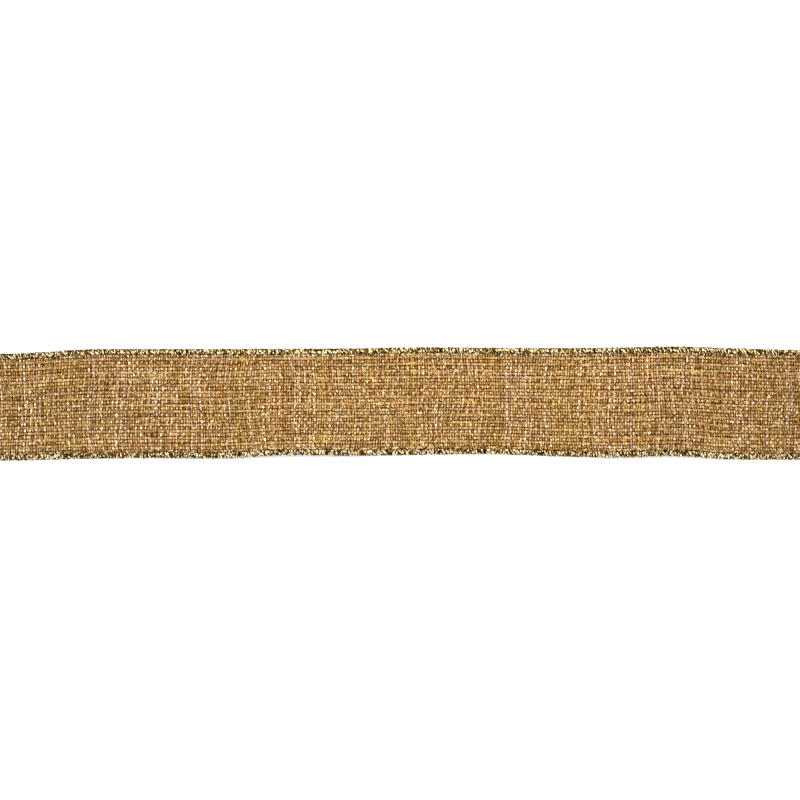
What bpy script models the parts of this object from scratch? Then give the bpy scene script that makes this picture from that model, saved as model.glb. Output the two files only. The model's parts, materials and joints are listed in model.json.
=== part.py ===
"""Ribbon spool: a 1.5 inch wired, woven ribbon on a card spool, with its free end drawn out flat.

The ribbon leaves the underside of its winding and runs towards -X along the surface it lies on. Its
last turn round the winding is loose and belongs to the free end. The spool stands on the rims of its two
flanges and turns about an axis along Y. The origin is the middle of the whole object's base, and +Z is
up. "near" pieces are on the -Y side and "far" pieces on the +Y side.
"""

import math
from functools import partial

import bmesh
import bpy
import numpy as np

MM = 0.001
PIECE_GAP = 0.3 * MM  # free space between two neighbouring solids

# The ribbon. Its edges are overlocked over a wire, so they are thicker than the cloth between them.
RIBBON_LENGTH = 9.144  # ten yards
RIBBON_WIDTH = 38.1 * MM
BAND_THICKNESS = 0.5 * MM
EDGE_WIDTH = 2.3 * MM
EDGE_THICKNESS = 1.3 * MM
CASING_BORE = (1.4 * MM, 0.9 * MM)  # the wire's channel inside an edge, across and through
WIRE_RADIUS = 0.175 * MM
WIRE_STICKS_OUT = 1.2 * MM  # past the ribbon's cut end

# How the ribbon lies: the cut end, the flat stretch, the run up to the flange rims, then the spool.
CUT_END_RUN = 14.0 * MM
FLAT_STRETCH = 276.0 * MM
SPOOL_RUN = 16.0 * MM

# The spool.
FLANGE_RADIUS = 54.0 * MM
HOLE_RADIUS = 12.0 * MM
BOARD_THICKNESS = 1.2 * MM
PAPER_THICKNESS = 0.2 * MM
PAPER_INSET = 0.6 * MM  # the facing and the liner stop this far short of the board's rim and hole
LABEL_RADIUS = 33.0 * MM
LABEL_INSET = 2.4 * MM  # from the board's hole
RIBBON_SIDE_PLAY = 1.0 * MM
CORE_RADIUS = 20.0 * MM
CORE_WALL = 1.5 * MM
GLUE_LEG = 2.0 * MM  # the glue fillet's size along the tube and along the flange
TAPE_THICKNESS = 0.15 * MM
TAPE_WIDTH = 24.0 * MM
TAPE_ARC = math.radians(75)
WOUND_PITCH = 0.72 * MM  # one turn's thickness in the winding, set by the wired edges
BAND_SAG = 0.4 * MM  # the cloth lies this far inside the outermost edges

# The loose last turn: it starts at the winding's underside, goes up its +X side and spirals inwards, so
# that its inner end lies hidden behind the place where the ribbon leaves the winding.
LAST_TURN = math.radians(378)
LAST_TURN_ROWS = 42
LAYER = EDGE_THICKNESS + PIECE_GAP

ROUND_STEPS = 64
RIBBON_STEPS = 88

# Sizes that follow from the ones above.
TOTAL_LENGTH = WIRE_STICKS_OUT + CUT_END_RUN + FLAT_STRETCH + SPOOL_RUN + 2 * FLANGE_RADIUS
CUT_END_X = WIRE_STICKS_OUT - TOTAL_LENGTH / 2
AXIS_X = TOTAL_LENGTH / 2 - FLANGE_RADIUS
AXIS_Z = FLANGE_RADIUS
HALF_WIDTH = RIBBON_WIDTH / 2
BAND_HALF_WIDTH = HALF_WIDTH - EDGE_WIDTH - PIECE_GAP
EDGE_CENTRE = HALF_WIDTH - EDGE_WIDTH / 2
WINDING_INNER = CORE_RADIUS + TAPE_THICKNESS + 2 * PIECE_GAP
FREE_LENGTH = AXIS_X - CUT_END_X
WOUND_OUTER = math.sqrt(WINDING_INNER**2 + (RIBBON_LENGTH - FREE_LENGTH) * WOUND_PITCH / math.pi)
WINDING_OUTER = WOUND_OUTER - WOUND_PITCH
LAST_TURN_INNER = WINDING_OUTER + PIECE_GAP + EDGE_THICKNESS / 2
LAST_TURN_OUTER = LAST_TURN_INNER + LAYER * LAST_TURN / (2 * math.pi)
LINER_FACE = HALF_WIDTH + RIBBON_SIDE_PLAY
BOARD_FACE = LINER_FACE + PAPER_THICKNESS + PIECE_GAP
FACE_FACE = BOARD_FACE + BOARD_THICKNESS + PIECE_GAP
LABEL_FACE = FACE_FACE + PAPER_THICKNESS + PIECE_GAP

# How the free ribbon lies. Each row: distance from the cut end, sway along Y, height of the near and of
# the far edge, rise of the middle over the edges, and width, all in mm.
LIE = (
    (0, -0.9, 0.70, 0.70, 0.8, 37.3),
    (22, -0.7, 0.75, 1.40, 1.4, 37.4),
    (43, 0.2, 0.80, 2.60, 1.8, 38.2),
    (66, 0.5, 1.60, 1.30, 2.2, 38.1),
    (92, 0.5, 3.00, 0.75, 2.0, 38.2),
    (118, 1.1, 3.90, 0.80, 2.8, 37.2),
    (136, 1.0, 2.60, 1.40, 2.2, 37.5),
    (160, 1.3, 0.90, 2.70, 1.6, 37.6),
    (188, 1.3, 0.75, 3.80, 1.8, 37.2),
    (212, 0.9, 1.60, 2.60, 1.4, 37.9),
    (232, 0.9, 3.00, 1.00, 1.6, 38.4),
    (252, 1.3, 3.70, 0.80, 1.8, 38.2),
    (266, 0.6, 2.40, 1.60, 1.2, 38.7),
    (284, 0.1, 0.90, 2.20, 0.8, 38.5),
    (304, 0.0, 0.75, 0.90, 0.4, 38.1),
    (326, 0.0, 0.75, 0.75, 0.0, 38.1),
)

COLOURS = {
    "burlap_weave": ((0.42, 0.25, 0.10), 0.75, 0.0),
    "metallic_gold_thread": ((0.62, 0.46, 0.22), 0.35, 0.8),
    "edge_wire": ((0.34, 0.22, 0.12), 0.4, 1.0),
    "greyboard": ((0.36, 0.30, 0.23), 0.9, 0.0),
    "kraft_paper": ((0.50, 0.34, 0.19), 0.85, 0.0),
    "liner_paper": ((0.60, 0.50, 0.36), 0.85, 0.0),
    "label_paper": ((0.82, 0.77, 0.66), 0.6, 0.0),
    "paper_tube": ((0.44, 0.34, 0.24), 0.9, 0.0),
    "hot_glue": ((0.80, 0.72, 0.55), 0.3, 0.0),
    "tape": ((0.78, 0.66, 0.42), 0.4, 0.0),
}


def clear_scene():
    for obj in list(bpy.data.objects):
        bpy.data.objects.remove(obj)


def material(name):
    found = bpy.data.materials.get(name)
    if found:
        return found
    colour, roughness, metallic = COLOURS[name]
    made = bpy.data.materials.new(name)
    made.use_nodes = True
    shader = made.node_tree.nodes["Principled BSDF"]
    shader.inputs["Base Color"].default_value = (*colour, 1.0)
    shader.inputs["Roughness"].default_value = roughness
    shader.inputs["Metallic"].default_value = metallic
    return made


def add_object(name, bm, material_name, parent=None):
    """A named object from a bmesh, with its faces pointing out and its round sides shaded smooth."""
    bmesh.ops.recalc_face_normals(bm, faces=bm.faces)
    mesh = bpy.data.meshes.new(name)
    bm.to_mesh(mesh)
    bm.free()
    mesh.shade_smooth()
    mesh.set_sharp_from_angle(angle=math.radians(40))
    mesh.materials.append(material(material_name))
    obj = bpy.data.objects.new(name, mesh)
    bpy.context.scene.collection.objects.link(obj)
    obj.parent = parent
    return obj


def turned(name, profile, material_name, parent):
    """A ring turned about the parent's Y axis, from a closed outline of (radius, y) points."""
    bm = bmesh.new()
    corners = [bm.verts.new((radius, y, 0.0)) for radius, y in profile]
    outline = [bm.edges.new((a, b)) for a, b in zip(corners, corners[1:] + corners[:1])]
    bmesh.ops.spin(
        bm,
        geom=corners + outline,
        cent=(0, 0, 0),
        axis=(0, 1, 0),
        angle=2 * math.pi,
        steps=ROUND_STEPS,
        use_merge=True,
    )
    bmesh.ops.remove_doubles(bm, verts=bm.verts, dist=0.00001)
    return add_object(name, bm, material_name, parent)


def ring_outline(inner, outer, y_start, y_end):
    return [(outer, y_start), (outer, y_end), (inner, y_end), (inner, y_start)]


def arc_patch(name, inner, outer, half_width, arc, material_name, parent):
    """A strip that lies along part of a cylinder about the parent's Y axis."""
    steps = round(ROUND_STEPS * arc / (2 * math.pi))
    bm = bmesh.new()
    outline = ring_outline(inner, outer, -half_width, half_width)
    face = bm.faces.new([bm.verts.new((radius, y, 0.0)) for radius, y in outline])
    bmesh.ops.spin(
        bm, geom=[face, *face.edges, *face.verts], cent=(0, 0, 0), axis=(0, 1, 0), angle=arc, steps=steps
    )
    return add_object(name, bm, material_name, parent)


def skin(bm, ring, following):
    for i in range(len(ring)):
        j = (i + 1) % len(ring)
        bm.faces.new((ring[i], ring[j], following[j], following[i]))


def loft(name, outer_loops, material_name, parent, inner_loops=None):
    """A solid through a row of closed loops, hollow along its length where inner loops are given."""
    bm = bmesh.new()
    shells = [
        [[bm.verts.new(point) for point in loop] for loop in loops]
        for loops in (outer_loops, inner_loops)
        if loops
    ]
    for rings in shells:
        for ring, following in zip(rings, rings[1:]):
            skin(bm, ring, following)
    for end in (0, -1):
        if inner_loops:
            skin(bm, shells[0][end], shells[1][end])
        else:
            bm.faces.new(shells[0][end])
    return add_object(name, bm, material_name, parent)


def ribbon_rows():
    """The rows that the free ribbon passes through: x, z, sway, tilt, rise and width, in metres.

    z is the height midway between the edges, and tilt is half the far edge's height over the near one.
    The last turn's rows follow those of the stretch that lies on the surface.
    """
    rows = [
        (CUT_END_X + along * MM, (near + far) / 2 * MM, sway * MM, (far - near) / 2 * MM, rise * MM, width * MM)
        for along, sway, near, far, rise, width in LIE
    ]
    for angle in np.linspace(0, LAST_TURN, LAST_TURN_ROWS):
        radius = LAST_TURN_OUTER - LAYER * angle / (2 * math.pi)
        x = AXIS_X + radius * math.sin(angle)
        z = AXIS_Z - radius * math.cos(angle)
        rows.append((x, z, 0.0, 0.0, 0.0, RIBBON_WIDTH))
    return np.array(rows)


def smoothed(rows, count):
    """Rows evenly spaced along a smooth curve through the given ones."""
    steps = np.hypot(np.diff(rows[:, 0]), np.diff(rows[:, 1]))
    at = np.concatenate([[0], np.cumsum(steps)])
    slopes = np.gradient(rows, at, axis=0)
    wanted = np.linspace(0, at[-1], count)
    i = np.clip(np.searchsorted(at, wanted, side="right") - 1, 0, len(steps) - 1)
    span = steps[i][:, None]
    t = (wanted - at[i])[:, None] / span
    return (
        (2 * t**3 - 3 * t**2 + 1) * rows[i]
        + (t**3 - 2 * t**2 + t) * span * slopes[i]
        + (3 * t**2 - 2 * t**3) * rows[i + 1]
        + (t**3 - t**2) * span * slopes[i + 1]
    )


def on_section(row, up, across, above):
    """A point of one cross-section: this far across from its middle, and this far above its surface."""
    x, z, sway, tilt, rise, width = row
    share = across / HALF_WIDTH
    lift = tilt * share + rise * (1 - share**2) + above
    return (x + up[0] * lift, sway + share * width / 2, z + up[1] * lift)


def ribbon_sections():
    """One function for each step along the ribbon, which places a point of its cross-section."""
    rows = smoothed(ribbon_rows(), RIBBON_STEPS)
    dx, dz = np.gradient(rows[:, :2], axis=0).T
    ups = np.column_stack([-dz, dx]) / np.hypot(dx, dz)[:, None]
    return [partial(on_section, row, up) for row, up in zip(rows, ups)]


def oval(place, centre, across, through, corners):
    """A loop of corners points on an oval about the given distance from the ribbon's middle."""
    turns = [2 * math.pi * i / corners for i in range(corners)]
    return [place(centre + across / 2 * math.cos(a), through / 2 * math.sin(a)) for a in turns]


def band_loop(place, corners=5):
    """The woven band's cross-section: a thin strip that follows the ribbon's rise and tilt."""
    across = [BAND_HALF_WIDTH * (2 * i / (corners - 1) - 1) for i in range(corners)]
    top = [place(a, BAND_THICKNESS / 2) for a in across]
    bottom = [place(a, -BAND_THICKNESS / 2) for a in reversed(across)]
    return top + bottom


def build_free_ribbon(parent):
    sections = ribbon_sections()
    loft("tail_band", [band_loop(place) for place in sections], "burlap_weave", parent)
    for side, sign in (("near", -1), ("far", 1)):
        centre = sign * EDGE_CENTRE
        casing = [oval(place, centre, EDGE_WIDTH, EDGE_THICKNESS, 8) for place in sections]
        bore = [oval(place, centre, *CASING_BORE, 8) for place in sections]
        loft(f"tail_edge_{side}", casing, "metallic_gold_thread", parent, bore)
        wire = [oval(place, centre, 2 * WIRE_RADIUS, 2 * WIRE_RADIUS, 5) for place in sections]
        wire[0] = [(x - WIRE_STICKS_OUT, y, z) for x, y, z in wire[0]]
        loft(f"tail_wire_{side}", wire, "edge_wire", parent)


def build_winding(parent):
    """The wound ribbon, as the rings that its cloth and its two wired edges fill."""
    band = ring_outline(WINDING_INNER, WINDING_OUTER - BAND_SAG, -BAND_HALF_WIDTH, BAND_HALF_WIDTH)
    turned("winding_band", band, "burlap_weave", parent)
    for side, sign in (("near", -1), ("far", 1)):
        inner_y, outer_y = sign * (HALF_WIDTH - EDGE_WIDTH), sign * HALF_WIDTH
        edge = ring_outline(WINDING_INNER, WINDING_OUTER, inner_y, outer_y)
        turned(f"winding_edge_{side}", edge, "metallic_gold_thread", parent)


def build_core(parent):
    tube_end = LINER_FACE - PIECE_GAP
    tube = ring_outline(CORE_RADIUS - CORE_WALL, CORE_RADIUS, -tube_end, tube_end)
    turned("core_tube", tube, "paper_tube", parent)
    tape_inner = CORE_RADIUS + PIECE_GAP
    arc_patch("start_tape", tape_inner, tape_inner + TAPE_THICKNESS, TAPE_WIDTH / 2, TAPE_ARC, "tape", parent)
    glue_outer = CORE_RADIUS - CORE_WALL - PIECE_GAP
    for side, sign in (("near", -1), ("far", 1)):
        foot, top = sign * tube_end, sign * (tube_end - GLUE_LEG)
        fillet = [(glue_outer, foot), (glue_outer, top), (glue_outer - GLUE_LEG, foot)]
        turned(f"glue_bead_{side}", fillet, "hot_glue", parent)


def build_flange(side, sign, parent):
    """A greyboard disc, lined with paper on its inside, and papered and labelled on its outside."""

    def disc(name, start, thickness, inner, outer, material_name):
        outline = ring_outline(inner, outer, sign * start, sign * (start + thickness))
        turned(name, outline, material_name, parent)

    paper_hole, paper_rim = HOLE_RADIUS + PAPER_INSET, FLANGE_RADIUS - PAPER_INSET
    disc(f"flange_liner_{side}", LINER_FACE, PAPER_THICKNESS, paper_hole, paper_rim, "liner_paper")
    disc(f"flange_board_{side}", BOARD_FACE, BOARD_THICKNESS, HOLE_RADIUS, FLANGE_RADIUS, "greyboard")
    disc(f"flange_face_{side}", FACE_FACE, PAPER_THICKNESS, paper_hole, paper_rim, "kraft_paper")
    label_hole = HOLE_RADIUS + LABEL_INSET
    disc(f"flange_label_{side}", LABEL_FACE, PAPER_THICKNESS, label_hole, LABEL_RADIUS, "label_paper")


def main():
    clear_scene()
    tail = bpy.data.objects.new("free_ribbon", None)
    spool = bpy.data.objects.new("spool_axis", None)
    spool.location = (AXIS_X, 0.0, AXIS_Z)
    for empty in (tail, spool):
        bpy.context.scene.collection.objects.link(empty)
    build_free_ribbon(tail)
    build_winding(spool)
    build_core(spool)
    for side, sign in (("near", -1), ("far", 1)):
        build_flange(side, sign, spool)


main()
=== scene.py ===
import json
import math

import bpy
import numpy as np
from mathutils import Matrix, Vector


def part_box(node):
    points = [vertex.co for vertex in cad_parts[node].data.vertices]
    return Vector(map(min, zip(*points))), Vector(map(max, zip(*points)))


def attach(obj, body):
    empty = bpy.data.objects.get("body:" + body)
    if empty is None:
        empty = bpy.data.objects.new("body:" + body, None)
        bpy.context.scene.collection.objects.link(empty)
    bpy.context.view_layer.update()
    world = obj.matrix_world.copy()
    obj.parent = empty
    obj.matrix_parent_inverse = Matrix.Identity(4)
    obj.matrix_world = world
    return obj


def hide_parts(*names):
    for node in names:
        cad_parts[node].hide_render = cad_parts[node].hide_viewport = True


# A woven ribbon with wired, overlocked edges of metallic gold thread, drawn out flat from its card
# spool. Lengths are metres in the CAD's frame. Every yarn and stitch is real geometry: the free ribbon
# with its loose last turn rides on the body "free_ribbon", and everything else on "spool".

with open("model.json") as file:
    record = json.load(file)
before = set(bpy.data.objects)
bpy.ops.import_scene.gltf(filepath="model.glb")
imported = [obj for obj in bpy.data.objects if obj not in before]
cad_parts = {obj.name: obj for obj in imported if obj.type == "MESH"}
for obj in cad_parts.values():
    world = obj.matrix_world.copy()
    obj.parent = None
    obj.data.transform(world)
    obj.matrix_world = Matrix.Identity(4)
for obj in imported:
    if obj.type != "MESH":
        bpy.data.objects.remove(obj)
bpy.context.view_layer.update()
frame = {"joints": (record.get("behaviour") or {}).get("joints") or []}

MM = 0.001
TURN = 2 * math.pi
SEED = 20
SIDES = ((-1, "near"), (1, "far"))

# Sizes that the frame gives.
AXIS = frame["joints"][0]["pos_m"]
RIBBON_HALF_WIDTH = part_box("winding_edge_far")[1].y
EDGE_WIDTH = RIBBON_HALF_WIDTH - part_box("winding_edge_far")[0].y
WINDING_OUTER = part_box("winding_edge_far")[1].z - AXIS[2]
CORE_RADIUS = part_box("core_tube")[1].z - AXIS[2]
CORE_HALF_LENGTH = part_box("core_tube")[1].y
FLANGE_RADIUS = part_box("flange_board_far")[1].z - AXIS[2]
LABEL_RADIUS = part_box("flange_label_far")[1].z - AXIS[2]
LINER_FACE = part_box("flange_liner_far")[0].y
BOARD_FACES = (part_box("flange_board_far")[0].y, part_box("flange_board_far")[1].y)
PAPER_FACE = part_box("flange_face_far")[1].y
LABEL_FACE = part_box("flange_label_far")[1].y
TAPE_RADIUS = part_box("start_tape")[1].x - AXIS[0]
TAPE_HALF_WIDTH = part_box("start_tape")[1].y
CUT_END_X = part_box("tail_band")[0].x
EDGE_CENTRE = RIBBON_HALF_WIDTH - 0.42 * EDGE_WIDTH
CLOTH_HALF_WIDTH = RIBBON_HALF_WIDTH - 0.80 * EDGE_WIDTH  # the cloth runs a little way into its edges

# The lie of the free ribbon, as the CAD has it: distance from the cut end, sway along Y, height of the
# near and of the far edge, rise of the middle over the edges, and width, all in mm.
LIE = (
    (0, -0.9, 0.70, 0.70, 0.8, 37.3),
    (22, -0.7, 0.75, 1.40, 1.4, 37.4),
    (43, 0.2, 0.80, 2.60, 1.8, 38.2),
    (66, 0.5, 1.60, 1.30, 2.2, 38.1),
    (92, 0.5, 3.00, 0.75, 2.0, 38.2),
    (118, 1.1, 3.90, 0.80, 2.8, 37.2),
    (136, 1.0, 2.60, 1.40, 2.2, 37.5),
    (160, 1.3, 0.90, 2.70, 1.6, 37.6),
    (188, 1.3, 0.75, 3.80, 1.8, 37.2),
    (212, 0.9, 1.60, 2.60, 1.4, 37.9),
    (232, 0.9, 3.00, 1.00, 1.6, 38.4),
    (252, 1.3, 3.70, 0.80, 1.8, 38.2),
    (266, 0.6, 2.40, 1.60, 1.2, 38.7),
    (284, 0.1, 0.90, 2.20, 0.8, 38.5),
    (304, 0.0, 0.75, 0.90, 0.4, 38.1),
    (326, 0.0, 0.75, 0.75, 0.0, 38.1),
)
LAST_TURN = math.radians(378)
LAST_TURN_ROWS = 42
LAYER = 1.6 * MM
LAST_TURN_OUTER = WINDING_OUTER + 0.95 * MM + LAYER * LAST_TURN / TURN
WOUND_PITCH = 0.72 * MM

# The cloth: a plain weave of soft yarns, the warp along the ribbon and the weft across it.
WARP_COUNT = 30
WARP_HALF = (0.56 * MM, 0.12 * MM)  # half of a yarn's width and of its thickness
WARP_HEIGHT = 0.11 * MM  # how far a yarn rises and falls at a crossing
WEFT_PITCH = 0.86 * MM
WEFT_HALF = (0.27 * MM, 0.13 * MM)
WEFT_HEIGHT = 0.16 * MM
PALE_WEFT = 2  # every second weft yarn is pale
YARN_SIDES = 6
DYE_SHIFT = 0.9  # how much less orange a yarn is where its dye is lighter
FRAY = 2.2 * MM
WARP_PIECES = 3
WEFT_PIECES = 3

# The edges.
STITCH_PITCH = 0.85 * MM
CASING_HALF = (0.86 * MM, 0.36 * MM)
THREAD_HALF = (0.19 * MM, 0.09 * MM)
NEEDLE_OFFSET = -1.45 * MM  # of the needle's row of stitches from the edge's middle line
NEEDLE_HEIGHT = 0.30 * MM
THREAD_SIDES = 5
CORE_SIDES = 8
CORE_ROWS = 700
HIGHLIGHT_FLECKS = 0.30  # the shares of the foil painted with a highlight, as facing the light, and with shade, as facing away from it
SHADE_FLECKS = 0.35
OUTER_RIM_SHADE = {"near": 0.55, "far": 0.15}  # painted shade where a looper thread rounds the edge's outer rim
INNER_RIM_SHADE = {"near": 0.30, "far": 0.18}
WIRE_RADIUS = 0.175 * MM
WIRE_STICKS_OUT = 1.2 * MM

# The spool.
ROUND_STEPS = 288
ROUND_ANGLES = (np.arange(ROUND_STEPS) * TURN / ROUND_STEPS)[:, None]
HOLE_RADIUS = 12.0 * MM
CORE_WALL = 1.5 * MM
GLUE_LEG = 2.4 * MM
TAPE_ARC = (math.radians(15), math.radians(90))
PAPER_INSET = 0.6 * MM
LABEL_INSET = 2.4 * MM
FLANGE_BOW = 0.22 * MM
SEAM_PITCH = 46 * MM  # how far the tube's spiral seam runs along it in one turn
TAPE_TEETH = 36
OUTER_RING = (31.2 * MM, 0.45 * MM)  # the label's printed rings: radius and half of the line's width
DASHED_RING = (29.2 * MM, 0.35 * MM)
INNER_RING = (17.0 * MM, 0.35 * MM)
DASHES = 72

# Lighting and camera.
DOME_LEVEL = 1.45
KEY_LEVEL = 0.85
SIDE_LEVEL = 0.5
LIGHT_LEVEL = DOME_LEVEL + KEY_LEVEL  # of a white surface, so the white floor burns out and cloth doesn't
VIEW_LENGTH = 281 * MM  # how much of the ribbon the picture is wide
VIEW_MIDDLE = (CUT_END_X + 14 * MM + VIEW_LENGTH / 2, 1.7 * MM)
CAMERA_HEIGHT = 0.75
SENSOR = 36.0
KEY_X = VIEW_MIDDLE[0] + 16 * MM
SPOOL_X = AXIS[0] + 20 * MM  # what the side lights aim at, so that they miss the drawn-out ribbon
FLOOR_HALF = 6.0
FLOOR_DROP = 0.2 * MM


def srgb(r, g, b, returned=1.0):
    """A display colour as the reflectance that shows as it here, on a surface that returns this share of
    the light that a smooth one would."""
    c = np.array([r, g, b])
    linear = np.where(c <= 0.04045, c / 12.92, ((c + 0.055) / 1.055) ** 2.4)
    return linear / (LIGHT_LEVEL * returned)


CLOTH_RETURN = 0.575  # the yarns shade each other
SPOOL_RETURN = 0.66  # the spool has the dome and its own side lights, not the key light
TAN = srgb(0.75, 0.625, 0.455, CLOTH_RETURN)
ORANGE_BROWN = srgb(0.71, 0.525, 0.245, CLOTH_RETURN)
STRAW = srgb(0.86, 0.77, 0.48, CLOTH_RETURN)
CREAM = srgb(1.14, 1.06, 0.90, CLOTH_RETURN)
PINKISH = srgb(1.05, 0.94, 0.86, CLOTH_RETURN)
# dark umber: painted shade in the gaps between the yarns
GAP_SHADE_UMBER = srgb(0.46, 0.22, 0.0)
# painted highlight of the foil
FOIL_HIGHLIGHT = srgb(1.62, 1.49, 1.19)
GOLD = srgb(0.73, 0.50, 0.16)
# painted shade on gold: foil that faces away from the light, and the casing
GOLD_IN_SHADE = srgb(0.15, 0.06, 0.0)
# Painted shade at the dips, where a yarn dives between crossings: factors on its colour.
DEEP_DIP_SHADE = np.array([0.13, 0.035, 0.004])  # painted shade, darker and browner, where a yarn dives under a pale one
WARP_DIP_SHADE = np.array([0.60, 0.42, 0.14])
WEFT_DIP_SHADE = np.array([0.43, 0.27, 0.06])
PALE_DIP_SHADE = np.array([0.20, 0.11, 0.02])


# ---------------------------------------------------------------- shapes


def smoothed(rows, count):
    """Rows evenly spaced along a smooth curve through the given ones."""
    steps = np.hypot(np.diff(rows[:, 0]), np.diff(rows[:, 1]))
    at = np.concatenate([[0], np.cumsum(steps)])
    slopes = np.gradient(rows, at, axis=0)
    wanted = np.linspace(0, at[-1], count)
    i = np.clip(np.searchsorted(at, wanted, side="right") - 1, 0, len(steps) - 1)
    span = steps[i][:, None]
    t = (wanted - at[i])[:, None] / span
    return (
        (2 * t**3 - 3 * t**2 + 1) * rows[i]
        + (t**3 - 2 * t**2 + t) * span * slopes[i]
        + (3 * t**2 - 2 * t**3) * rows[i + 1]
        + (t**3 - t**2) * span * slopes[i + 1]
    )


def ribbon_rows():
    """The middle line's x and z, and there its sway, tilt, rise and width, from the cut end onwards."""
    rows = []
    for along, sway, near, far, rise, width in LIE:
        height = (near + far) / 2
        tilt = (far - near) / 2
        rows.append((CUT_END_X + along * MM, height * MM, sway * MM, tilt * MM, rise * MM, width * MM))
    for angle in np.linspace(0, LAST_TURN, LAST_TURN_ROWS):
        radius = LAST_TURN_OUTER - LAYER * angle / TURN
        x = AXIS[0] + radius * math.sin(angle)
        z = AXIS[2] - radius * math.cos(angle)
        rows.append((x, z, 0.0, 0.0, 0.0, 2 * RIBBON_HALF_WIDTH))
    return np.array(rows)


class Path:
    """The ribbon's middle line, from the cut end to the loose last turn's inner end."""

    def __init__(self, rows):
        self.rows = rows
        steps = np.hypot(np.diff(rows[:, 0]), np.diff(rows[:, 1]))
        self.at = np.concatenate([[0], np.cumsum(steps)])
        self.length = self.at[-1]
        tangents = np.gradient(rows[:, :2], axis=0)
        self.tangents = tangents / np.linalg.norm(tangents, axis=1)[:, None]

    def read(self, columns, along):
        return [np.interp(along, self.at, columns[:, i]) for i in range(columns.shape[1])]

    def point(self, along, across, above):
        """Points this far along the ribbon, across from its middle and above its surface."""
        x, z, sway, tilt, rise, width = self.read(self.rows, along)
        tangent_x, tangent_z = self.read(self.tangents, along)
        before = np.minimum(along, 0)  # a yarn's end past the cut
        share = across / RIBBON_HALF_WIDTH
        lift = tilt * share + rise * (1 - share**2) + above
        return np.stack(
            [
                x - tangent_z * lift + before * tangent_x,
                sway + share * width / 2,
                z + tangent_x * lift + before * tangent_z,
            ],
            axis=-1,
        )


PATH = Path(smoothed(ribbon_rows(), 1600))


def repeats(pitch):
    """How many of what has this pitch fit along the free ribbon, a little short of its ends."""
    return int((PATH.length - 1.0 * MM) / pitch)


def wander(rng, shape, every):
    """Smooth random rows with a spread of 1, whose values change over about this many steps."""
    rows, count = shape
    knots = int(count / every) + 4
    values = rng.normal(size=(rows, knots))
    at = np.linspace(0, knots - 1.001, count)[None, :] + rng.random((rows, 1)) * 0.001
    i = at.astype(int)
    t = at - i
    t = t * t * (3 - 2 * t)
    pick = np.arange(rows)[:, None]
    mixed = values[pick, i] * (1 - t) + values[pick, np.minimum(i + 1, knots - 1)] * t
    return mixed / np.sqrt(np.mean(mixed**2))


def mix(a, b, share):
    share = np.clip(share, 0, 1)[..., None]
    return a * (1 - share) + b * share


def facing_out(points, faces):
    """The faces of a closed surface, turned over if the volume inside them comes out negative."""
    centred = points - points.mean(axis=0)
    volume = 0.0
    for f in faces:
        for i in range(1, f.shape[1] - 1):
            normals = np.cross(centred[f[:, i]], centred[f[:, i + 1]])
            volume += np.sum(centred[f[:, 0]] * normals)
    return [f[:, ::-1] for f in faces] if volume < 0 else faces


def mesh_object(name, points, faces, material, colours=None, smooth=True):
    """A piece from points, and faces as one array of corners for each number of sides."""
    mesh = bpy.data.meshes.new(name)
    faces = facing_out(np.asarray(points, float).reshape(-1, 3), faces)
    points = np.ascontiguousarray(points, np.float32).reshape(-1, 3)
    corners = np.concatenate([f.ravel() for f in faces]).astype(np.int32)
    sizes = np.concatenate([np.full(len(f), f.shape[1]) for f in faces]).astype(np.int32)
    mesh.vertices.add(len(points))
    mesh.vertices.foreach_set("co", points.ravel())
    mesh.loops.add(len(corners))
    mesh.loops.foreach_set("vertex_index", corners)
    mesh.polygons.add(len(sizes))
    mesh.polygons.foreach_set("loop_start", np.concatenate([[0], np.cumsum(sizes)[:-1]]).astype(np.int32))
    mesh.polygons.foreach_set("loop_total", sizes)
    if colours is not None:
        layer = mesh.color_attributes.new("yarn_colour", "FLOAT_COLOR", "POINT")
        rgba = np.ones((len(points), 4), np.float32)
        rgba[:, :3] = np.clip(colours.reshape(-1, 3), 0, 1)
        layer.data.foreach_set("color", rgba.ravel())
    mesh.update(calc_edges=True)
    mesh.validate()
    if smooth:
        mesh.shade_smooth()
    mesh.materials.append(material)
    obj = bpy.data.objects.new(name, mesh)
    bpy.context.scene.collection.objects.link(obj)
    return obj


def tubes(name, centres, across, up, half_width, half_height, material, colours, sides=YARN_SIDES):
    """Many closed tubes of one length in points, each an oval round its own line of centres."""
    count, steps = centres.shape[:2]
    angles = np.arange(sides) * TURN / sides
    cos, sin = np.cos(angles)[:, None], np.sin(angles)[:, None]
    points = (
        centres[:, :, None, :]
        + across[:, :, None, :] * cos * half_width[:, :, None, None]
        + up[:, :, None, :] * sin * half_height[:, :, None, None]
    )
    tube = np.arange(count)[:, None, None] * steps * sides
    step = np.arange(steps - 1)[None, :, None] * sides
    side = np.arange(sides)[None, None, :]
    after = (side + 1) % sides
    a, b = tube + step + side, tube + step + after
    quads = np.stack([a, b, b + sides, a + sides], axis=-1).reshape(-1, 4)
    first = tube[:, 0] + np.arange(sides)[::-1]
    last = tube[:, 0] + (steps - 1) * sides + np.arange(sides)
    caps = np.concatenate([first, last])
    if colours.ndim == 3:
        colours = np.repeat(colours[:, :, None, :], sides, axis=2)
    return mesh_object(name, points, [quads, caps], material, colours)


def unit(v):
    return v / np.linalg.norm(v, axis=-1, keepdims=True)


def surface_frame(along, across, path=PATH):
    """The ribbon's own directions at these places: along it, across it, and up from its surface."""
    step = 0.2 * MM
    zero = np.zeros_like(along)
    forward = unit(path.point(along + step, across, zero) - path.point(along - step, across, zero))
    sideways = unit(path.point(along, across + step, zero) - path.point(along, across - step, zero))
    return forward, sideways, unit(np.cross(forward, sideways))


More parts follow.
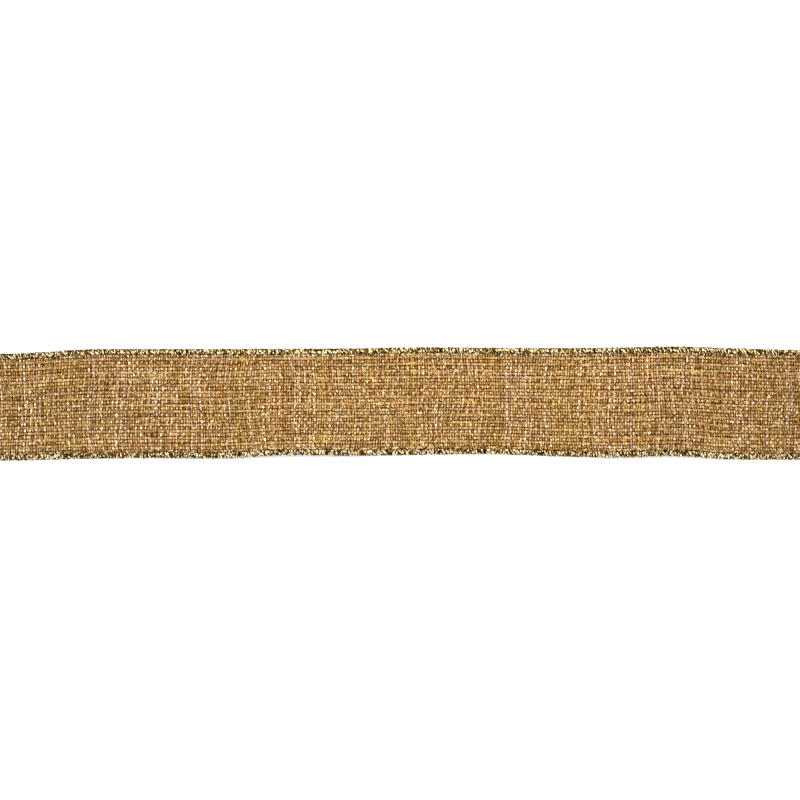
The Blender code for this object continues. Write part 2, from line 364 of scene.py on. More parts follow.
def slab(name, top, bottom, material):
    """A thin closed sheet between two grids of points."""
    rows, columns = top.shape[:2]
    count = rows * columns
    i = np.arange(rows - 1)[:, None] * columns + np.arange(columns - 1)[None, :]
    face = np.stack([i, i + columns, i + columns + 1, i + 1], axis=-1).reshape(-1, 4)
    grid = np.arange(count).reshape(rows, columns)
    rim = np.concatenate([grid[0, :-1], grid[:-1, -1], grid[-1, :0:-1], grid[:0:-1, 0]])
    after = np.roll(rim, -1)
    side = np.stack([rim, after, after + count, rim + count], axis=-1)
    return mesh_object(name, np.stack([top, bottom]), [face, face[:, ::-1] + count, side], material)


def around(angle, radius, y):
    """Points about the spool's axis; the angle starts at the bottom and goes up the +X side."""
    return np.stack(
        np.broadcast_arrays(AXIS[0] + radius * np.sin(angle), y, AXIS[2] - radius * np.cos(angle)), axis=-1
    )


def turned(name, outline, material, moved):
    """A ring about the spool's axis from a closed outline of (radius, y). moved takes the angle, radius
    and y of every point, and gives the radius and y where it really lies."""
    outline = np.array(outline)
    radius, y = moved(ROUND_ANGLES, outline[None, :, 0], outline[None, :, 1])
    rows = len(outline)
    here = np.arange(ROUND_STEPS)[:, None] * rows
    ahead = (np.arange(ROUND_STEPS)[:, None] + 1) % ROUND_STEPS * rows
    row = np.arange(rows)[None, :]
    after = (row + 1) % rows
    quads = np.stack([here + row, here + after, ahead + after, ahead + row], axis=-1).reshape(-1, 4)
    return mesh_object(name, around(ROUND_ANGLES, radius, y), [quads], material)


def plate_outline(inner, outer, low, high, corner, rim_rows=2):
    """A flat ring's cross-section, with rounded corners and this many rows on its rim and in its hole."""
    turn = np.linspace(0, math.pi / 2, 4)
    sin, cos = corner * np.sin(turn), corner * np.cos(turn)
    hole, rim = inner + corner, outer - corner
    bottom, top = low + corner, high - corner
    flat = 0.4 * MM
    radii = [hole, *np.linspace(hole + flat, rim - flat, 14), rim]
    rows = np.linspace(bottom, top, rim_rows)[1:-1]
    outline = [(r, low) for r in radii]
    outline += zip(rim + sin[1:], bottom - cos[1:])
    outline += [(outer, y) for y in rows]
    outline += zip(rim + cos[:-1], top + sin[:-1])
    outline += [(r, high) for r in reversed(radii)]
    outline += zip(hole - sin[1:], top + cos[1:])
    outline += [(inner, y) for y in reversed(rows)]
    outline += zip(hole - cos[:-1], bottom - sin[:-1])
    return outline


def ripple(rng, columns, lowest, highest):
    """Random waves round a ring, which meet where the ring closes: one set for each column."""
    total = np.zeros((ROUND_STEPS, columns))
    for waves in range(lowest, highest):
        height = rng.normal(size=(1, columns))
        phase = TURN * rng.random((1, columns))
        total += height * np.sin(waves * ROUND_ANGLES + phase)
    return total / math.sqrt(0.5 * (highest - lowest))


def ride(obj, body, slot_name, *nodes):
    """Places a finished piece on its body, with the CAD nodes that it stands for."""
    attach(obj, body)
    if nodes:
        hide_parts(*nodes)
    return obj


# ---------------------------------------------------------------- materials


def new_material(name, roughness, metallic=0.0, specular=0.5):
    made = bpy.data.materials.new(name)
    made.use_nodes = True
    nodes, links = made.node_tree.nodes, made.node_tree.links
    shader = nodes["Principled BSDF"]
    shader.inputs["Roughness"].default_value = roughness
    shader.inputs["Metallic"].default_value = metallic
    shader.inputs["Specular IOR Level"].default_value = specular
    return made, nodes, links, shader


def noise(nodes, links, scale, detail=2.0, stretch=None):
    """A noise texture in the object's own coordinates, in features per metre."""
    texture = nodes.new("ShaderNodeTexNoise")
    texture.inputs["Scale"].default_value = scale
    texture.inputs["Detail"].default_value = detail
    coordinates = nodes.new("ShaderNodeTexCoord")
    source = coordinates.outputs["Object"]
    if stretch:
        mapping = nodes.new("ShaderNodeMapping")
        mapping.inputs["Scale"].default_value = stretch
        links.new(source, mapping.inputs["Vector"])
        source = mapping.outputs["Vector"]
    links.new(source, texture.inputs["Vector"])
    return texture.outputs["Fac"]


def ramp(nodes, links, factor, stops):
    """A colour ramp with stops of (place, colour)."""
    made = nodes.new("ShaderNodeValToRGB")
    elements = made.color_ramp.elements
    while len(elements) < len(stops):
        elements.new(0.5)
    for element, (place, colour) in zip(elements, stops):
        element.position = place
        element.color = (*colour, 1.0)
    links.new(factor, made.inputs["Fac"])
    return made.outputs["Color"]


def multiplied(nodes, links, first, second):
    node = nodes.new("ShaderNodeMix")
    node.data_type = "RGBA"
    node.blend_type = "MULTIPLY"
    node.inputs["Factor"].default_value = 1.0
    links.new(first, node.inputs["A"])
    links.new(second, node.inputs["B"])
    return node.outputs["Result"]


def ranged(nodes, links, factor, low, high):
    node = nodes.new("ShaderNodeMapRange")
    node.inputs["To Min"].default_value = low
    node.inputs["To Max"].default_value = high
    links.new(factor, node.inputs["Value"])
    return node.outputs["Result"]


def bump(nodes, links, shader, height, distance, strength=1.0):
    node = nodes.new("ShaderNodeBump")
    node.inputs["Strength"].default_value = strength
    node.inputs["Distance"].default_value = distance
    links.new(height, node.inputs["Height"])
    links.new(node.outputs["Normal"], shader.inputs["Normal"])


def thread_material(name, roughness, metallic, specular, fleck_scale, fleck_stops):
    """Yarn or thread: its colours, with painted shade and painted highlights, from an attribute, and fine
    flecks of darker and lighter fibre.
    """
    made, nodes, links, shader = new_material(name, 0.5, metallic, specular)
    attribute = nodes.new("ShaderNodeAttribute")
    attribute.attribute_name = "yarn_colour"
    flecks = noise(nodes, links, fleck_scale)
    shade = ramp(nodes, links, flecks, fleck_stops)
    links.new(multiplied(nodes, links, attribute.outputs["Color"], shade), shader.inputs["Base Color"])
    links.new(ranged(nodes, links, flecks, *roughness), shader.inputs["Roughness"])
    bump(nodes, links, shader, flecks, 0.04 * MM)
    return made


def mottled_material(
    name,
    stops,
    scale,
    roughness,
    bump_depth,
    stretch=None,
    metallic=0.0,
    specular=0.3,
    specks=None,
    print_on=None,
):
    """A surface whose colour wanders between stops, such as board, paper or glue, with finer specks of a
    tint, and what print_on adds to the colour."""
    made, nodes, links, shader = new_material(name, 0.5, metallic, specular)
    coarse = noise(nodes, links, scale, 6.0, stretch)
    colour = ramp(nodes, links, coarse, stops)
    if specks:
        fine = noise(nodes, links, scale * 2.5, 3.0, stretch)
        tint = ramp(nodes, links, fine, [(0.62, (1.0, 1.0, 1.0)), (0.70, specks)])
        colour = multiplied(nodes, links, colour, tint)
    if print_on:
        colour = print_on(nodes, links, colour)
    links.new(colour, shader.inputs["Base Color"])
    links.new(ranged(nodes, links, coarse, *roughness), shader.inputs["Roughness"])
    bump(nodes, links, shader, noise(nodes, links, scale * 4, 4.0), bump_depth)
    return made


def math_node(nodes, links, operation, first, second):
    node = nodes.new("ShaderNodeMath")
    node.operation = operation
    for source, socket in zip((first, second), node.inputs):
        if isinstance(source, float):
            socket.default_value = source
        else:
            links.new(source, socket)
    return node.outputs["Value"]


def printed_rings(nodes, links, paper):
    """Plain printed decoration: two thin rings round the label, and a ring of short dashes between."""

    def compute(operation, first, second=0.0):
        return math_node(nodes, links, operation, first, second)

    coordinates = nodes.new("ShaderNodeTexCoord")
    apart = nodes.new("ShaderNodeSeparateXYZ")
    links.new(coordinates.outputs["Object"], apart.inputs["Vector"])
    x = compute("SUBTRACT", apart.outputs["X"], AXIS[0])
    z = compute("SUBTRACT", apart.outputs["Z"], AXIS[2])
    squares = compute("ADD", compute("MULTIPLY", x, x), compute("MULTIPLY", z, z))
    radius = compute("SQRT", squares)

    def ring(middle, half_width):
        off = compute("ABSOLUTE", compute("SUBTRACT", radius, middle))
        return compute("LESS_THAN", off, half_width)

    angle = compute("ARCTAN2", x, z)
    wave = compute("SINE", compute("MULTIPLY", angle, float(DASHES)))
    dashes = compute("MULTIPLY", ring(*DASHED_RING), compute("GREATER_THAN", wave, 0.0))
    ink = compute("ADD", ring(*OUTER_RING), ring(*INNER_RING))
    ink = compute("MAXIMUM", ink, dashes)
    mixed = nodes.new("ShaderNodeMix")
    mixed.data_type = "RGBA"
    links.new(ink, mixed.inputs["Factor"])
    links.new(paper, mixed.inputs["A"])
    mixed.inputs["B"].default_value = (*INK, 1.0)
    return mixed.outputs["Result"]


YARN_FLECKS = [(0.38, (0.13, 0.05, 0.0)), (0.50, (0.98, 0.95, 0.88)), (0.63, (1.54, 1.62, 1.86))]
FOIL_FLECKS = [(0.38, (0.40, 0.30, 0.10)), (0.54, (1.0, 1.0, 1.0))]
YARN = thread_material("burlap_yarn", (0.6, 0.9), 0.0, 0.0, 2800, YARN_FLECKS)
FOIL = thread_material("gold_foil_thread", (0.22, 0.5), 0.6, 0.0, 2800, FOIL_FLECKS)
# painted shade: the dark sheet seen in the gaps between the yarns
GAP_SHADE = mottled_material(
    "cloth_ground", [(0.3, GAP_SHADE_UMBER * 0.7), (0.7, GAP_SHADE_UMBER)], 900, (0.8, 0.95), 0.02 * MM, specular=0.0
)
# The casing's own gold, darkened with painted shade where it shows in the gaps between the threads over it.
SHADED_CASING = mottled_material(
    "edge_casing", [(0.3, GOLD_IN_SHADE * 2), (0.7, GOLD * 0.4)], 1500, (0.5, 0.8), 0.02 * MM, specular=0.05
)
WOUND = mottled_material(
    "wound_cloth",
    [(0.3, ORANGE_BROWN), (0.5, TAN), (0.7, STRAW)],
    700,
    (0.8, 0.95),
    0.05 * MM,
    specular=0.05,
)
WIRE = mottled_material(
    "lacquered_wire",
    [(0.3, srgb(0.40, 0.28, 0.18)), (0.7, srgb(0.60, 0.46, 0.32))],
    1200,
    (0.25, 0.45),
    0.005 * MM,
    metallic=1.0,
)
INK = srgb(0.60, 0.42, 0.20, SPOOL_RETURN)


def card(name, dark, light, scale, roughness, bump_depth, specks=(0.72, 0.66, 0.58), print_on=None):
    """A card or paper: mottled between two colours, with specks of fibre."""
    return mottled_material(
        name,
        [(0.32, srgb(*dark, SPOOL_RETURN)), (0.68, srgb(*light, SPOOL_RETURN))],
        scale,
        roughness,
        bump_depth,
        stretch=(1.0, 1.0, 1.5),
        specular=0.2,
        specks=specks,
        print_on=print_on,
    )


GREYBOARD = card("greyboard", (0.51, 0.46, 0.39), (0.63, 0.58, 0.51), 700, (0.85, 0.95), 0.08 * MM)
KRAFT = card("kraft_paper", (0.73, 0.56, 0.38), (0.78, 0.62, 0.44), 900, (0.70, 0.90), 0.03 * MM)
LINER = card("liner_paper", (0.81, 0.72, 0.57), (0.86, 0.78, 0.64), 900, (0.75, 0.92), 0.03 * MM)
TUBE = card("tube_paper", (0.62, 0.51, 0.38), (0.70, 0.59, 0.46), 600, (0.80, 0.92), 0.05 * MM)
LABEL = card(
    "label_paper",
    (0.93, 0.89, 0.80),
    (0.96, 0.93, 0.85),
    500,
    (0.45, 0.60),
    0.01 * MM,
    specks=(0.95, 0.92, 0.86),
    print_on=printed_rings,
)
GLUE = card(
    "hot_glue",
    (0.84, 0.76, 0.58),
    (0.92, 0.86, 0.72),
    300,
    (0.15, 0.30),
    0.05 * MM,
    specks=(0.96, 0.94, 0.90),
)
TAPE = card(
    "packing_tape",
    (0.72, 0.58, 0.34),
    (0.80, 0.66, 0.42),
    200,
    (0.20, 0.35),
    0.01 * MM,
    specks=(0.94, 0.92, 0.88),
)


# ---------------------------------------------------------------- cloth


def dyed(rng, shape, slow, quick, every):
    """Lightness of each crossing: unevenly dyed along each yarn, and different at each crossing."""
    yarn = 0.07 * rng.normal(size=(shape[0], 1))
    return np.exp(yarn + slow * wander(rng, shape, every) + quick * rng.normal(size=shape))[..., None]


def warp_colours(rng, shape):
    """Golden tan yarns with orange-brown stretches, most of all those that pale yarns cross. What is
    lighter is less orange."""
    dye = dyed(rng, shape, 0.06, 0.20, 12)
    crossed_by_pale = (np.arange(shape[0]) % PALE_WEFT == 1)[:, None]
    orange = np.where(crossed_by_pale, 0.60, 0.15) - DYE_SHIFT * (dye[..., 0] - 1)
    colour = mix(np.broadcast_to(TAN, (*shape, 3)), ORANGE_BROWN, orange + 0.26 * wander(rng, shape, 9))
    colour = mix(colour, STRAW, 0.10 * wander(rng, shape, 12) + 0.04)
    return colour * dye


def weft_colours(rng, shape):
    """Each yarn has its own tint along its whole length, from straw to pinkish, which it mostly shares with
    its neighbours. Every second yarn is pale along most of its length, and the rest are nearly as tan as
    the warp."""
    dye = dyed(rng, shape, 0.05, 0.18, 12)
    pink = 0.42 + 0.16 * wander(rng, (1, shape[0]), 3).T + 0.30 * rng.normal(size=(shape[0], 1))
    orange = 0.45 + 0.25 * wander(rng, shape, 8) - DYE_SHIFT * (dye[..., 0] - 1)
    colour = mix(np.broadcast_to(TAN, (*shape, 3)), ORANGE_BROWN, orange)
    colour = mix(colour, STRAW, 0.5 - 1.1 * pink)
    colour = mix(colour, PINKISH * 0.6, 1.3 * pink - 0.75)
    tint = mix(mix(STRAW, CREAM, 1.5 * pink), PINKISH, 1.8 * pink - 0.8)
    pale_yarn = np.arange(shape[0])[:, None] % PALE_WEFT == 0
    pale = np.where(pale_yarn, 0.60, 0.12) + 0.22 * rng.normal(size=(shape[0], 1))
    pale = pale + 0.30 * wander(rng, shape, 4) + 0.28 * rng.normal(size=shape)
    return mix(colour, tint, pale) * dye


def crossing_colours(rng, colours, dip_shade):
    """Colours at two points for each crossing: the crossing itself, and the dip to the next one, darkened
    with painted shade that is deeper at some than at others."""
    shade_depth = np.clip(1.0 + 0.50 * rng.normal(size=colours.shape[:2]), 0.1, 1.9)[..., None]
    between = (colours + np.roll(colours, -1, axis=1)) / 2 * dip_shade**shade_depth
    return np.stack([colours, between], axis=2).reshape(len(colours), -1, 3)


def doubled(at_crossing, between):
    """Values at crossings and midway between them, in turn, along each yarn."""
    return np.stack([at_crossing, between], axis=2).reshape(len(at_crossing), -1)


def weft_sway(along, across):
    """How far the weft yarns stray along the ribbon: neighbours together, in slow waves."""
    return MM * (
        0.34 * np.sin(along / (9 * MM) + across / (5 * MM))
        + 0.26 * np.sin(along / (23 * MM) - across / (8 * MM) + 1.0)
    )


def weave(rng):
    """The warp and the weft of the whole free ribbon, as a few pieces each."""
    weft_count = repeats(WEFT_PITCH)
    warp_pitch = 2 * CLOTH_HALF_WIDTH / WARP_COUNT
    weft_at = (np.arange(weft_count) + 0.9) * WEFT_PITCH + rng.normal(size=weft_count) * 0.07 * MM
    warp_at = (np.arange(WARP_COUNT) + 0.5) * warp_pitch - CLOTH_HALF_WIDTH
    warp_at = warp_at + rng.normal(size=WARP_COUNT) * 0.05 * MM
    sign = 1.0 - 2.0 * ((np.arange(WARP_COUNT)[:, None] + np.arange(weft_count)[None, :]) % 2)
    crossed_at = weft_at[None, :] + weft_sway(weft_at[None, :], warp_at[:, None])

    drift = 0.13 * MM * wander(rng, (WARP_COUNT, weft_count), 12)
    along = doubled(crossed_at, crossed_at + WEFT_PITCH / 2)
    across = np.repeat(warp_at[:, None] + drift, 2, axis=1)
    above = doubled(sign * WARP_HEIGHT, np.zeros_like(sign))
    along[:, 0] -= rng.random(WARP_COUNT) * FRAY
    thick = 1 + 0.10 * wander(rng, (WARP_COUNT, weft_count), 8)
    half_width = doubled(thick, 0.80 * thick) * WARP_HALF[0]
    # the warp yarns that pale yarns cross get the deeper painted shade at their dips
    deep_shade_rows = (np.arange(WARP_COUNT) % PALE_WEFT == 1)[:, None, None]  # it is these that pale yarns cross
    colours = crossing_colours(rng, warp_colours(rng, sign.shape), np.where(deep_shade_rows, DEEP_DIP_SHADE, WARP_DIP_SHADE))
    lines = along, across, above
    pieces = yarn_pieces("warp", WARP_PIECES, lines, half_width, WARP_HALF[1], colours, lengthwise=True)

    sign = -sign.T
    skew = 0.16 * MM * wander(rng, (weft_count, WARP_COUNT), 4)
    across = np.broadcast_to(warp_at, sign.shape)
    across = doubled(across, across + warp_pitch / 2)
    along = np.repeat(crossed_at.T + skew, 2, axis=1)
    above = doubled(sign * WEFT_HEIGHT, np.zeros_like(sign))
    thick = (1 + 0.08 * rng.normal(size=(weft_count, 1))) * (1 + 0.10 * wander(rng, sign.shape, 6))
    pale_yarn = (np.arange(weft_count) % PALE_WEFT == 0)[:, None]
    thick = thick * np.where(pale_yarn, 1.24, 0.88)
    half_width = doubled(thick, 0.70 * thick) * WEFT_HALF[0]
    # painted shade at the weft yarns' dips, deepest for the pale ones
    dip_shade = np.where(pale_yarn[..., None], PALE_DIP_SHADE, WEFT_DIP_SHADE)
    colours = crossing_colours(rng, weft_colours(rng, sign.shape), dip_shade)
    lines = along, across, above
    pieces += yarn_pieces("weft", WEFT_PIECES, lines, half_width, WEFT_HALF[1], colours, lengthwise=False)
    return pieces


def yarn_pieces(name, count, lines, half_width, half_height, colours, lengthwise):
    """Every count-th yarn makes one piece, so that each piece covers the whole ribbon."""
    along, across, _ = lines
    centres = PATH.point(*lines)
    forward, sideways, up = surface_frame(along, across)
    lateral = sideways if lengthwise else forward
    height = np.full(half_width.shape, half_height)
    made = []
    for i in range(count):
        pick = slice(i, None, count)
        obj = tubes(
            f"{name}_yarns_{i + 1}",
            centres[pick],
            lateral[pick],
            up[pick],
            half_width[pick],
            height[pick],
            YARN,
            colours[pick],
        )
        made.append(ride(obj, "free_ribbon", "woven_cloth"))
    return made


def gap_shade_sheet():
    """A thin dark sheet that fills the gaps between the yarns: painted shade for the shadowed depth of the
    cloth there.
    """
    along = np.linspace(0.4 * MM, PATH.length - 0.4 * MM, 520)
    across = np.linspace(-CLOTH_HALF_WIDTH, CLOTH_HALF_WIDTH, 13)
    a, c = np.meshgrid(along, across, indexing="ij")
    half = np.full_like(a, 0.02 * MM)
    obj = slab("ribbon_ground", PATH.point(a, c, half), PATH.point(a, c, -half), GAP_SHADE)
    return ride(obj, "free_ribbon", "woven_cloth", "tail_band")


# ---------------------------------------------------------------- edges


def fleck_colours(rng, count, steps_per_fleck):
    """Metallic foil that turns as it runs: painted highlight in cream where it faces the light, painted
    shade near black where it doesn't.
    """
    shape = count // steps_per_fleck + 2
    draw = rng.random(shape)
    colour = np.broadcast_to(GOLD, (shape, 3))
    colour = mix(colour, FOIL_HIGHLIGHT, np.where(draw > 1 - HIGHLIGHT_FLECKS, 0.95, 0.0))
    colour = mix(colour, GOLD_IN_SHADE, np.where(draw < SHADE_FLECKS, 0.97, 0.0))
    colour = colour * np.exp(0.25 * rng.normal(size=shape))[:, None]
    return np.repeat(colour, steps_per_fleck, axis=0)[:count]


def edge_thread(name, side, along, offset, above, half, colours):
    """A thread that runs along an edge, at this offset outwards from the edge's middle line."""
    across = side * (EDGE_CENTRE + offset)
    centres = PATH.point(along, across, above)[None]
    tangent = unit(np.gradient(centres, axis=1))
    up = surface_frame(along, across)[2][None]
    lateral = unit(np.cross(tangent, up))
    upright = unit(np.cross(lateral, tangent))
    width = np.full((1, len(along)), half[0])
    height = np.full((1, len(along)), half[1])
    obj = tubes(name, centres, lateral, upright, width, height, FOIL, colours[None], THREAD_SIDES)
    return ride(obj, "free_ribbon", "gold_thread")


def overcast(rng, name, side, phase, lean):
    """The looper thread: it passes over the edge, round its rim and back underneath, stitch by stitch."""
    points = 20
    t = np.arange(repeats(STITCH_PITCH) * points) / points
    angle = TURN * (t + phase)
    across = CASING_HALF[0] + THREAD_HALF[1]
    above = CASING_HALF[1] + THREAD_HALF[1]
    along = 0.5 * MM + t * STITCH_PITCH + side * lean * STITCH_PITCH * np.cos(angle)
    along = along + 0.10 * MM * wander(rng, (1, len(t)), 5)[0]
    reach = 1 + 0.08 * wander(rng, (1, len(t)), 9)[0]
    end = name.split("_")[-1]
    # painted shade where the thread turns round the edge's rims, deepest at the rims
    rim = np.where(np.cos(angle) > 0, OUTER_RIM_SHADE[end], INNER_RIM_SHADE[end])
    shade = rim + (1 - rim) * np.abs(np.sin(angle)) ** 0.7
    colours = fleck_colours(rng, len(t), 2) * shade[:, None]
    offset = reach * across * np.cos(angle)
    return edge_thread(name, side, along, offset, above * np.sin(angle), THREAD_HALF, colours)


def needle_row(rng, name, side):
    """The needle thread: a row of short stitches along the inner side of the edge."""
    points = 8
    t = np.arange(repeats(STITCH_PITCH) * points) / points
    angle = TURN * t
    along = 0.6 * MM + t * STITCH_PITCH
    offset = NEEDLE_OFFSET + 0.22 * MM * np.sin(angle) + 0.08 * MM * wander(rng, (1, len(t)), 7)[0]
    # painted shade where the needle thread goes down into the cloth
    shade = 0.45 + 0.55 * np.clip(np.cos(angle), 0, 1)
    colours = fleck_colours(rng, len(t), points) * shade[:, None]
    return edge_thread(name, side, along, offset, NEEDLE_HEIGHT * np.cos(angle), THREAD_HALF, colours)


def edge_core(name, side, along, half, material):
    """A plain tube in the middle of an edge."""
    across = np.full_like(along, side * EDGE_CENTRE)
    centres = PATH.point(along, across, np.zeros_like(along))[None]
    _, sideways, up = surface_frame(along, across)
    width = np.full((1, len(along)), half[0])
    height = np.full((1, len(along)), half[1])
    colours = np.ones((1, len(along), 3))
    return tubes(name, centres, sideways[None], up[None], width, height, material, colours, CORE_SIDES)


def ribbon_edge(rng, side, name):
    along = np.linspace(0.3 * MM, PATH.length - 0.3 * MM, CORE_ROWS)
    casing = edge_core(f"edge_casing_{name}", side, along, CASING_HALF, SHADED_CASING)
    along = np.linspace(-WIRE_STICKS_OUT, PATH.length - 0.4 * MM, CORE_ROWS)
    wire = edge_core(f"edge_wire_{name}", side, along, (WIRE_RADIUS, WIRE_RADIUS), WIRE)
    return [
        ride(casing, "free_ribbon", "gold_thread", f"tail_edge_{name}"),
        ride(wire, "free_ribbon", "edge_wire", f"tail_wire_{name}"),
        overcast(rng, f"edge_looper_over_{name}", side, 0.0, -0.55),
        overcast(rng, f"edge_looper_under_{name}", side, 0.5, -0.40),
        overcast(rng, f"edge_looper_cross_{name}", side, 0.25, -0.10),
        needle_row(rng, f"edge_needle_{name}", side),
    ]


def build_ribbon():
    rng = np.random.default_rng(SEED)
    sheet = gap_shade_sheet()
    pieces = weave(rng)
    for side, name in SIDES:
        pieces += ribbon_edge(rng, side, name)


# ---------------------------------------------------------------- spool


def wound_path():
    """The middle line of the wound ribbon, inwards from where the loose last turn ends."""
    outer = WINDING_OUTER - WOUND_PITCH / 2
    turns = (outer - CORE_RADIUS - 0.75 * MM - WOUND_PITCH / 2) / WOUND_PITCH
    angle = LAST_TURN + np.linspace(0, TURN * turns, int(turns * 180))
    radius = outer - WOUND_PITCH * (angle - LAST_TURN) / TURN
    rows = np.zeros((len(angle), 6))
    rows[:, 0] = AXIS[0] + radius * np.sin(angle)
    rows[:, 1] = AXIS[2] - radius * np.cos(angle)
    rows[:, 5] = 2 * RIBBON_HALF_WIDTH
    return Path(rows)


def wound_edge(rng, path, side, name):
    """One overlocked edge of the wound ribbon, turn against turn."""
    count = int(path.length / STITCH_PITCH)
    along = np.linspace(0.001 * MM, path.length, count)
    lumps = 0.07 * rng.normal(size=(1, count))
    across = np.full_like(along, side * EDGE_CENTRE) + side * 0.12 * MM * wander(rng, (1, count), 60)[0]
    centres = path.point(along, across, np.zeros_like(along))[None]
    _, sideways, up = surface_frame(along, across, path)
    width = EDGE_WIDTH / 2 * (0.90 + lumps)
    height = WOUND_PITCH / 2 * (0.96 + 0.5 * lumps)
    # painted highlights and shade of the turning foil
    colours = fleck_colours(rng, count, 1)[None]
    obj = tubes(f"wound_edge_{name}", centres, sideways[None], up[None], width, height, FOIL, colours)
    return ride(obj, "spool", "gold_thread", f"winding_edge_{name}")


def build_winding(rng):
    path = wound_path()
    along = np.linspace(0.0, path.length, int(path.length / (3 * MM)))
    across = np.linspace(-CLOTH_HALF_WIDTH, CLOTH_HALF_WIDTH, 7)
    a, c = np.meshgrid(along, across, indexing="ij")
    half = np.full_like(a, 0.2 * WOUND_PITCH)
    cloth = slab("winding_cloth", path.point(a, c, half), path.point(a, c, -half), WOUND)
    ride(cloth, "spool", "woven_cloth", "winding_band")
    edges = [wound_edge(rng, path, side, name) for side, name in SIDES]


def build_core(rng):
    """The spirally wound paper tube, its glue, and the tape that holds the ribbon's inner end."""
    rows = 64
    y = np.linspace(-CORE_HALF_LENGTH, CORE_HALF_LENGTH, rows)
    inner = CORE_RADIUS - CORE_WALL
    outline = [(CORE_RADIUS, v) for v in y] + [(inner, v) for v in reversed(y)]

    def seamed(angle, radius, y):
        """A groove along the seam, and a slight step where one ply laps the next."""
        turns = angle / TURN - y / SEAM_PITCH
        from_seam = np.abs((turns + 0.5) % 1.0 - 0.5) * SEAM_PITCH
        groove = 0.16 * MM * np.exp(-((from_seam / (0.7 * MM)) ** 2))
        step = 0.05 * MM * (turns % 1.0)
        inwards = np.where(radius > inner + MM / 2, -1.0, 1.0)
        return radius + inwards * (groove + step), y + 0 * angle

    ride(turned("spiral_tube", outline, TUBE, seamed), "spool", "paper_tube", "core_tube")

    for side, name in SIDES:
        foot = LINER_FACE - 0.05 * MM
        wall = inner - 0.08 * MM
        bulge = [(0.0, 1.0), (0.35, 0.62), (0.62, 0.35), (1.0, 0.0)]
        fillet = [(wall, side * foot)] + [
            (wall - GLUE_LEG * inwards, side * (foot - GLUE_LEG * up)) for inwards, up in bulge
        ]
        lumps = 1 + 0.10 * ripple(rng, 1, 3, 24)

        def lumpy(angle, radius, y, side=side, foot=foot, wall=wall, lumps=lumps):
            return wall - (wall - radius) * lumps, side * foot - (side * foot - y) * lumps

        ride(turned(f"glue_ring_{name}", fillet, GLUE, lumpy), "spool", "hot_glue", f"glue_bead_{name}")

    columns = 2 * TAPE_TEETH + 1
    angle = np.linspace(*TAPE_ARC, 40)[:, None]
    y = np.linspace(-TAPE_HALF_WIDTH, TAPE_HALF_WIDTH, columns)[None, :]
    pinked = 0.9 * MM / CORE_RADIUS * (np.arange(columns) % 2)[None, :]
    share = (angle - TAPE_ARC[0]) / (TAPE_ARC[1] - TAPE_ARC[0])
    angle = angle + pinked * (1 - 2 * share)
    top = around(angle, TAPE_RADIUS, y)
    bottom = around(angle, CORE_RADIUS + 0.05 * MM, y)
    ride(slab("tape_strip", top, bottom, TAPE), "spool", "tape", "start_tape")


def build_flange(rng, side, name):
    """A greyboard disc, lined on its inside, and faced and labelled on its outside."""
    phase = 1.4 - 0.7 * side

    def bowed(angle, radius, y):
        """Card is never quite flat: it bows a little towards its rim."""
        bow = FLANGE_BOW * (radius / FLANGE_RADIUS) ** 2 * np.cos(2 * angle + phase)
        return radius + 0 * angle, side * (y + bow)

    def paper(piece, inner, outer, low, high, material, slot_name, node):
        """A paper that lies flat on what it is glued to, with a rim that isn't cut quite round."""
        outline = plate_outline(inner, outer, low, high, 0.12 * MM)
        uneven = 0.06 * MM * ripple(rng, 1, 2, 30)

        def cut(angle, radius, y):
            radius, y = bowed(angle, radius, y)
            return radius + uneven, y

        ride(turned(f"{piece}_{name}", outline, material, cut), "spool", slot_name, f"{node}_{name}")

    outline = plate_outline(HOLE_RADIUS, FLANGE_RADIUS, *BOARD_FACES, 0.18 * MM, 9)
    fuzz = 0.035 * MM * ripple(rng, len(outline), 20, 90)

    def fibrous(angle, radius, y):
        """The cut edges show the board's plies, and are a little fibrous."""
        cut_edge = (radius > FLANGE_RADIUS - 0.2 * MM) | (radius < HOLE_RADIUS + 0.2 * MM)
        outwards = np.where(radius > FLANGE_RADIUS / 2, 1.0, -1.0)
        ply = 0.05 * MM * np.cos(TURN * 3.5 * (y - BOARD_FACES[0]) / (BOARD_FACES[1] - BOARD_FACES[0]))
        moved, y = bowed(angle, radius, y)
        return moved + np.where(cut_edge, outwards * (ply - np.abs(fuzz)), 0.0), y

    board = turned(f"board_disc_{name}", outline, GREYBOARD, fibrous)
    ride(board, "spool", "greyboard", f"flange_board_{name}")
    hole, rim = HOLE_RADIUS + PAPER_INSET, FLANGE_RADIUS - PAPER_INSET
    inside, outside = BOARD_FACES
    paper("lining_paper", hole, rim, LINER_FACE, inside, LINER, "liner_paper", "flange_liner")
    paper("facing_paper", hole, rim, outside, PAPER_FACE, KRAFT, "kraft_paper", "flange_face")
    hole, rim = HOLE_RADIUS + LABEL_INSET, LABEL_RADIUS
    paper("round_label", hole, rim, PAPER_FACE, LABEL_FACE, LABEL, "label_paper", "flange_label")


def build_spool():
    rng = np.random.default_rng(SEED + 1)
    build_core(rng)
    build_winding(rng)
    for side, name in SIDES:
        build_flange(rng, side, name)


# ---------------------------------------------------------------- stage


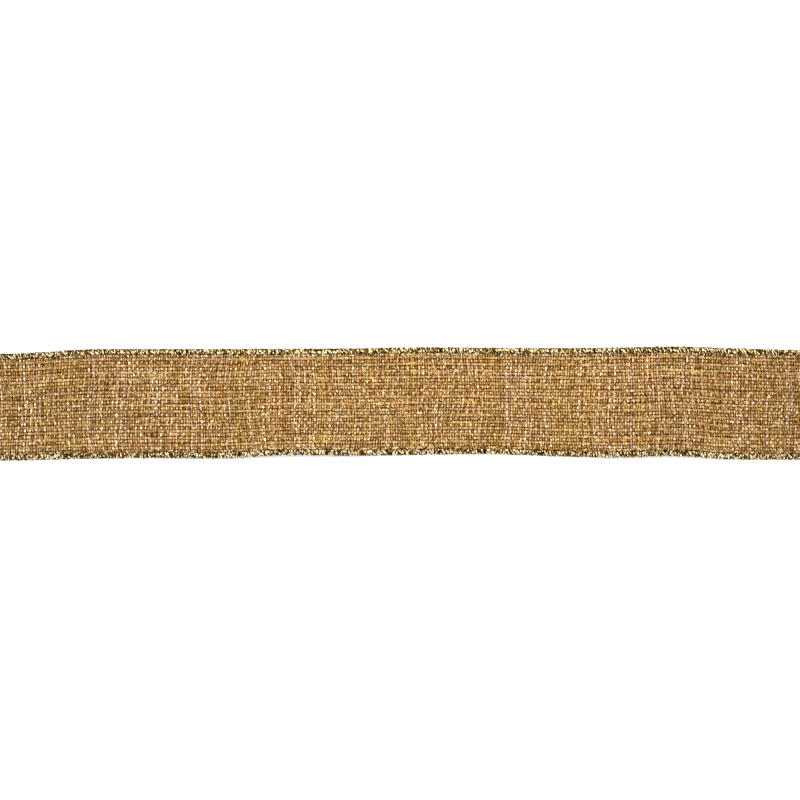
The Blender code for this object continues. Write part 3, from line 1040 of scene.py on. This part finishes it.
def build_stage():
    stops = [(0.3, (0.93, 0.93, 0.93)), (0.7, (0.95, 0.95, 0.95))]
    material = mottled_material("plain_floor", stops, 2.0, (0.8, 0.9), 0.1 * MM)
    corners = np.array([(-1, -1, 0), (1, -1, 0), (1, 1, 0), (-1, 1, 0)])
    points = FLOOR_HALF * corners - [0, 0, FLOOR_DROP]
    floor = mesh_object("floor", points, [np.array([[0, 1, 2, 3]])], material, smooth=False)


def spot(name, place, target, level, reach, softness):
    """A soft spotlight that lights a white surface at its target to this level, and fades out at this
    distance to its side."""
    data = bpy.data.lights.new(name, "SPOT")
    way = Vector(target) - Vector(place)
    data.energy = level * 4 * math.pi**2 * way.length_squared
    data.spot_size = 2 * math.atan(reach / way.length)
    data.spot_blend = 1.0
    data.shadow_soft_size = softness
    light = bpy.data.objects.new(name, data)
    light.location = place
    light.rotation_euler = way.to_track_quat("-Z", "Y").to_euler()
    bpy.context.scene.collection.objects.link(light)


def build_light():
    world = bpy.data.worlds.new("studio")
    world.use_nodes = True
    world.node_tree.nodes["Background"].inputs["Color"].default_value = (1.0, 1.0, 1.0, 1.0)
    world.node_tree.nodes["Background"].inputs["Strength"].default_value = DOME_LEVEL
    bpy.context.scene.world = world
    spot("key", (KEY_X, 0.25, 1.0), (KEY_X, 0.0, 0.0), KEY_LEVEL, 0.25, 0.12)
    spool = (SPOOL_X, 0.0, AXIS[2])
    low_spool = (SPOOL_X, 0.0, 0.7 * AXIS[2])
    spot("near_side", (AXIS[0] + 0.20, -0.70, 0.50), spool, SIDE_LEVEL, 0.08, 0.10)
    spot("far_side", (AXIS[0] + 0.10, 0.70, 0.50), spool, SIDE_LEVEL, 0.08, 0.10)
    spot("right_side", (AXIS[0] + 0.80, 0.0, 0.30), low_spool, SIDE_LEVEL, 0.065, 0.10)
    bpy.context.scene.view_settings.view_transform = "Standard"


def build_camera():
    data = bpy.data.cameras.new("camera")
    data.sensor_width = SENSOR
    data.lens = SENSOR * CAMERA_HEIGHT / VIEW_LENGTH
    camera = bpy.data.objects.new("camera", data)
    camera.location = (*VIEW_MIDDLE, CAMERA_HEIGHT)
    bpy.context.scene.collection.objects.link(camera)
    bpy.context.scene.camera = camera


build_camera()
build_ribbon()
build_spool()
build_stage()
build_light()
